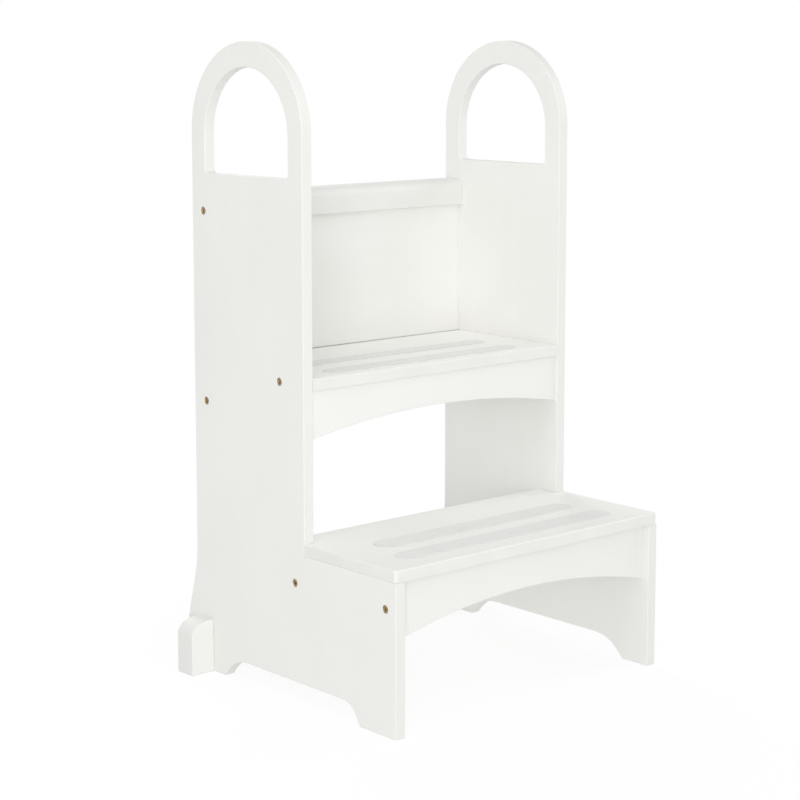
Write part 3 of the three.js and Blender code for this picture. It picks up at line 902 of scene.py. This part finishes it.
def back_panel():
    """The back board, its front face planed away in a wedge along the foot, where it stands on the tread."""
    low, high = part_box("back_panel")
    points = [(-CROSS_END, low.z), (CROSS_END, low.z), (CROSS_END, high.z), (-CROSS_END, high.z)]
    panel = cut_board("back_board", points, "Y", low.y, high.y, END_RIM, steps=3)
    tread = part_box("upper_step_board")[1].z
    past = CLEAR * MM
    corners, sides = block(
        (low.x - past, low.y - past, low.z - past), (high.x + past, low.y + BACK_GAP_DEPTH * MM, tread)
    )
    wedge = []
    for x, y, z in corners:
        gap = BACK_GAP["left"] if x < 0 else BACK_GAP["right"]
        wedge.append((x, y, z + gap * MM if z == tread else z))
    bore(panel, [(wedge, sides)])
    return painted(panel, "back_panel", PAINT_ACROSS)


# ---- Anti-tip feet ----
def anti_tip_foot(side, sign):
    node = f"anti_tip_foot_{side}"
    low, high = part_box(node)
    near, far = PANEL_OUTER + SEAM * MM, high.x if sign > 0 else -low.x
    shoulder = [(far - inward * MM, high.z + up * MM) for inward, up in FOOT_SHOULDER]
    points = [(near, low.z), (far, low.z), shoulder[0], *sweep(*shoulder, steps=24), (near, high.z)]
    if sign < 0:
        points = [(-u, v) for u, v in reversed(points)]
    foot = cut_board(f"{side}_anti_tip_block", points, "Y", low.y, high.y, FOOT_RIM)
    screw_end = sign * (near + SCREW_BORE_DEPTH * MM)
    cutters = []
    for level in ("lower", "upper"):
        screw = f"foot_screw_{level}_{side}"
        cutters.append(across_bore(SCREW_BORE, screw, screw_end, sign * near, mouth=0.3))
    bore(foot, cutters)
    return painted(foot, node, PAINT_UPRIGHT)


# ---- Fixings: each is made once as a blank along +X, and copied to its places ----
def along_x(node):
    """Length and radius in mm of a frame solid that lies from side to side."""
    low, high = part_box(node)
    return (high.x - low.x) / MM, (high.z - low.z) / 2 / MM


def thread_rings(start, end, per_mm, radius):
    """Close rings along a thread, for turned_mesh to wind its groove in."""
    return [(start + i / per_mm, radius) for i in range(int((end - start) * per_mm))]


def socket_bolt_blank():
    """A furniture bolt, its low cylinder head at the origin with a hex socket in it."""
    length, _ = along_x("bolt_top_rail_left")
    thread_start, thread_end = 20, length - 1
    profile = [(0, BOLT_HEAD - 0.75), (0.12, BOLT_HEAD - 0.35), (0.35, BOLT_HEAD - 0.12), (0.75, BOLT_HEAD)]
    profile += [(BOLT_HEAD_HEIGHT - 0.3, BOLT_HEAD), (BOLT_HEAD_HEIGHT, BOLT_HEAD - 0.3)]
    profile += [(BOLT_HEAD_HEIGHT, BOLT_SHANK + 0.25), (BOLT_HEAD_HEIGHT + 0.25, BOLT_SHANK)]
    profile += thread_rings(thread_start, thread_end, 4, BOLT_SHANK)
    profile += [(length - 0.8, BOLT_SHANK - 0.5), (length, BOLT_SHANK - 1.1)]
    mesh = turned_mesh("socket_bolt", profile, 36, (thread_start, thread_end, 1.0, 0.5))
    blank = finish_mesh("socket_bolt_blank", mesh)
    socket_radius = BOLT_SOCKET_ACROSS / math.sqrt(3) * MM
    bore(blank, [cutter(socket_radius, (0, 0), "X", BOLT_SOCKET_DEPTH * MM, 0, mouth=0.25, segments=6)])
    return blank


def barrel_nut_blank():
    """A cross dowel with rounded ends, a screwdriver slot and its threaded cross bore."""
    low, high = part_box("barrel_nut_top_rail_left")
    half = (high.y - low.y) / 2 / MM
    radius = (high.z - low.z) / 2 / MM
    slot_depth, slot_half, reach = 1.2, 0.7, 6
    rounds = [(-half, radius - 0.8), (-half + 0.2, radius - 0.3), (-half + 0.7, radius)]
    profile = rounds + [(-a, r) for a, r in reversed(rounds)]
    blank = finish_mesh("barrel_nut_blank", turned_mesh("barrel_nut", profile))
    slot = block(
        ((half - slot_depth) * MM, -reach * MM, -slot_half * MM),
        ((half + 1) * MM, reach * MM, slot_half * MM),
    )
    through = cutter(NUT_THREAD * MM, (0, 0), "Y", -8 * MM, 4.5 * MM)
    bore(blank, [slot, through])
    return blank


def fluted_dowel_blank():
    """A beech dowel with straight flutes and chamfered ends."""
    length, radius = along_x("dowel_top_rail_left")
    segments, flutes, flute_depth = 72, 18, 0.035
    rows = [(0, 0.8), (0.35, 0.92), (1.1, 1.0), (length - 1.1, 1.0), (length - 0.35, 0.92), (length, 0.8)]
    mesh = turned_mesh("fluted_dowel", [(a, radius * part) for a, part in rows], segments)
    for i, vertex in enumerate(mesh.vertices):
        turn = 2 * math.pi * (i % segments) / segments
        groove = 1 - flute_depth * (1 + math.cos(flutes * turn)) / 2
        vertex.co.y *= groove
        vertex.co.z *= groove
    return finish_mesh("fluted_dowel_blank", mesh)


def foot_screw_blank():
    """A countersunk wood screw with a cross recess and a coarse thread."""
    length, head = along_x("foot_screw_lower_right")
    thread_start, thread_end = 10, length - 6
    profile = [(0, head - 0.2), (0.15, head), (0.5, head), (2.6, 1.9), (3.4, 1.75)]
    profile += thread_rings(thread_start, thread_end, 3, 1.95)
    profile += [(length - 5, 1.5), (length - 2.5, 0.9), (length, 0.1)]
    mesh = turned_mesh("foot_screw", profile, 32, (thread_start, thread_end, 1.8, 0.55))
    blank = finish_mesh("foot_screw_blank", mesh)
    before, recess, arm, blade = -1 * MM, 1.3 * MM, 2.2 * MM, 0.45 * MM
    flat = block((before, -arm, -blade), (recess, arm, blade))
    upright = block((before, -blade, -arm), (recess, blade, arm))
    bore(blank, [flat, upright])
    return blank


def copies(blank, material, places):
    """One piece for each (piece name, node, place, turn), all sharing the blank's mesh."""
    for name, node, where, turn in places:
        piece = bpy.data.objects.new(name, blank.data)
        bpy.context.scene.collection.objects.link(piece)
        piece.matrix_world = Matrix.Translation(where) @ turn
        even_shading(piece, FIXING_SHADING)
        take_place(piece, node, material)
    bpy.data.objects.remove(blank)


ALONG = Matrix.Identity(4)
BACKWARD = Matrix.Rotation(math.pi, 4, "Z")
UPWARD = Matrix.Rotation(-math.pi / 2, 4, "Y")
NUT_FROM_REAR = Matrix.Rotation(math.pi / 2, 4, "Z")
NUT_FROM_BELOW = Matrix.Rotation(math.pi / 2, 4, "Y")


def end_of(node, outer, sign):
    """The middle of a lying fixing's outer or inner end; sign is -1 on the left of the stool."""
    low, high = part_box(node)
    end = high.x if outer == (sign > 0) else low.x
    return Vector((end, *middle(node)[1:]))


def fixings():
    bolts, nuts, dowels, screws = [], [], [], []
    for side, sign in SIDES:
        inward, outward = (ALONG, BACKWARD) if sign < 0 else (BACKWARD, ALONG)
        for joint in JOINTS:
            node = f"bolt_{joint}_{side}"
            bolts.append((f"{side}_{joint}_bolt", node, end_of(node, True, sign), inward))
            node = f"barrel_nut_{joint}_{side}"
            turn = NUT_FROM_BELOW if joint == "upper_step" else NUT_FROM_REAR
            nuts.append((f"{side}_{joint}_nut", node, middle(node), turn))
        for joint in (*JOINTS, "upper_apron"):
            node = f"dowel_{joint}_{side}"
            start = Vector((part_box(node)[0].x, *middle(node)[1:]))
            dowels.append((f"{side}_{joint}_dowel", node, start, ALONG))
        for level in ("lower", "upper"):
            node = f"foot_screw_{level}_{side}"
            screws.append((f"{side}_{level}_foot_screw", node, end_of(node, False, sign), outward))
    copies(socket_bolt_blank(), YELLOW_ZINC, bolts)
    copies(barrel_nut_blank(), BRIGHT_ZINC, nuts)
    copies(fluted_dowel_blank(), BEECH, dowels)
    copies(foot_screw_blank(), BRIGHT_ZINC, screws)


def tread_dowels():
    """The four upright dowels under the lower tread, a little shorter than the rest."""
    full_length, _ = along_x("dowel_top_rail_left")
    places = []
    for side, _ in SIDES:
        for end in ("front", "rear"):
            node = f"dowel_lower_step_{end}_{side}"
            low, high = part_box(node)
            shorten = Matrix.Diagonal(((high.z - low.z) / (full_length * MM), 1, 1, 1))
            foot = Vector((*middle(node)[:2], low.z))
            places.append((f"{side}_{end}_tread_dowel", node, foot, UPWARD @ shorten))
    copies(fluted_dowel_blank(), BEECH, places)


# ---- The stool ----
def stool():
    for side, sign in SIDES:
        side_panel(side, sign)
        anti_tip_foot(side, sign)
    lower_step()
    upper_step()
    for level in ("lower", "upper"):
        for end in ("front", "rear"):
            grip_strip(f"{level}_grip_strip_{end}")
    lower_apron()
    upper_apron()
    rear_rail("lower_rear_rail")
    rear_rail("upper_rear_rail")
    back_panel()
    top_rail()
    fixings()
    tread_dowels()


# ---- Floor, light and camera ----
# How strongly the floor and the room light the stool, and how bright they look from the camera.
FLOOR_LIGHT, FLOOR_SEEN = 0.645, 0.845
ROOM_LIGHT, ROOM_SEEN = 0.54, 1.0
FLOOR_REACH = 1.6
PALE_GREY = (0.15, 0.15, 0.15, 1.0)
WHITE = (1.0, 1.0, 1.0, 1.0)

# Square softboxes round the stool: name, azimuth, elevation and power in watts.
SOFTBOXES = (
    ("low front softbox", -41, 3, 46.5),
    ("high front softbox", -20, 35, 13.2),
    ("right softbox", 70, 20, 27.9),
    ("high left softbox", -60, 60, 22.1),
    ("rear left softbox", -130, 15, 8),
    ("back softbox", 160, 30, 29.9),
)
SOFTBOX_SIZE = 1.8
SOFTBOX_DISTANCE = 3.6
STOOL_MIDDLE = Vector((0, 0, 0.4))

# Where the camera stands, in metres: across, back from the front edge of the side panels, and up; and the
# azimuth and elevation that it looks from.
CAMERA_PLACE = (-1.7542, -1.7431, 0.8181)
CAMERA_DIRECTION = (-41.357, 7.851)
CAMERA_LENS = 92.415
CAMERA_SHIFT = -0.10


def camera_sees(graph, lit, seen):
    """A strength that is lit where it lights the stool, and seen where the camera looks straight at it."""
    straight = graph.add("ShaderNodeLightPath").outputs["Is Camera Ray"]
    return graph.add("ShaderNodeMapRange", {"Value": straight, "To Min": lit, "To Max": seen}).outputs[0]


def floor():
    """A pale sheet under the stool, bright enough to run into the room behind it."""
    mesh = bpy.data.meshes.new("floor")
    corners = [(-1, -1), (1, -1), (1, 1), (-1, 1)]
    mesh.from_pydata([(x * FLOOR_REACH, y * FLOOR_REACH, 0) for x, y in corners], [], [(0, 1, 2, 3)])
    sheet = bpy.data.objects.new("floor", mesh)
    bpy.context.scene.collection.objects.link(sheet)
    material, graph, shader, _ = new_material("white studio floor")
    shader.inputs["Base Color"].default_value = PALE_GREY
    shader.inputs["Roughness"].default_value = 0.9
    shader.inputs["Specular IOR Level"].default_value = 0.1
    shader.inputs["Emission Color"].default_value = WHITE
    graph.feed(shader, "Emission Strength", camera_sees(graph, FLOOR_LIGHT, FLOOR_SEEN))
    mesh.materials.append(material)


def from_stool(azimuth, elevation):
    """The direction from the stool's middle: azimuth 0 is in front of it, positive to its right."""
    turn, rise = math.radians(azimuth), math.radians(elevation)
    return Vector((math.sin(turn) * math.cos(rise), -math.cos(turn) * math.cos(rise), math.sin(rise)))


def softbox(name, azimuth, elevation, power):
    lamp = bpy.data.lights.new(name, "AREA")
    lamp.shape = "SQUARE"
    lamp.size = SOFTBOX_SIZE
    lamp.energy = power
    light = bpy.data.objects.new(name, lamp)
    bpy.context.scene.collection.objects.link(light)
    away = from_stool(azimuth, elevation)
    light.location = STOOL_MIDDLE + away * SOFTBOX_DISTANCE
    light.rotation_euler = away.to_track_quat("Z", "Y").to_euler()


def room():
    """An even white room, darker than it looks behind the stool."""
    world = bpy.data.worlds.new("white room")
    bpy.context.scene.world = world
    world.use_nodes = True
    graph = Graph(world.node_tree)
    world.node_tree.nodes.clear()
    strength = camera_sees(graph, ROOM_LIGHT, ROOM_SEEN)
    background = graph.add("ShaderNodeBackground", {"Color": WHITE, "Strength": strength})
    graph.add("ShaderNodeOutputWorld", {"Surface": background.outputs[0]})
    bpy.context.scene.view_settings.view_transform = "Standard"


def camera():
    lens = bpy.data.cameras.new("camera")
    lens.lens = CAMERA_LENS
    lens.sensor_width = 36
    lens.shift_y = CAMERA_SHIFT
    lens.clip_start = 0.05
    lens.clip_end = 60
    view = bpy.data.objects.new("camera", lens)
    bpy.context.scene.collection.objects.link(view)
    across, back, up = CAMERA_PLACE
    view.location = (across, cad_low.y + back, up)
    view.rotation_mode = "QUATERNION"
    view.rotation_quaternion = from_stool(*CAMERA_DIRECTION).to_track_quat("Z", "Y")
    bpy.context.scene.camera = view


stool()
floor()
for name, azimuth, elevation, power in SOFTBOXES:
    softbox(name, azimuth, elevation, power)
room()
camera()
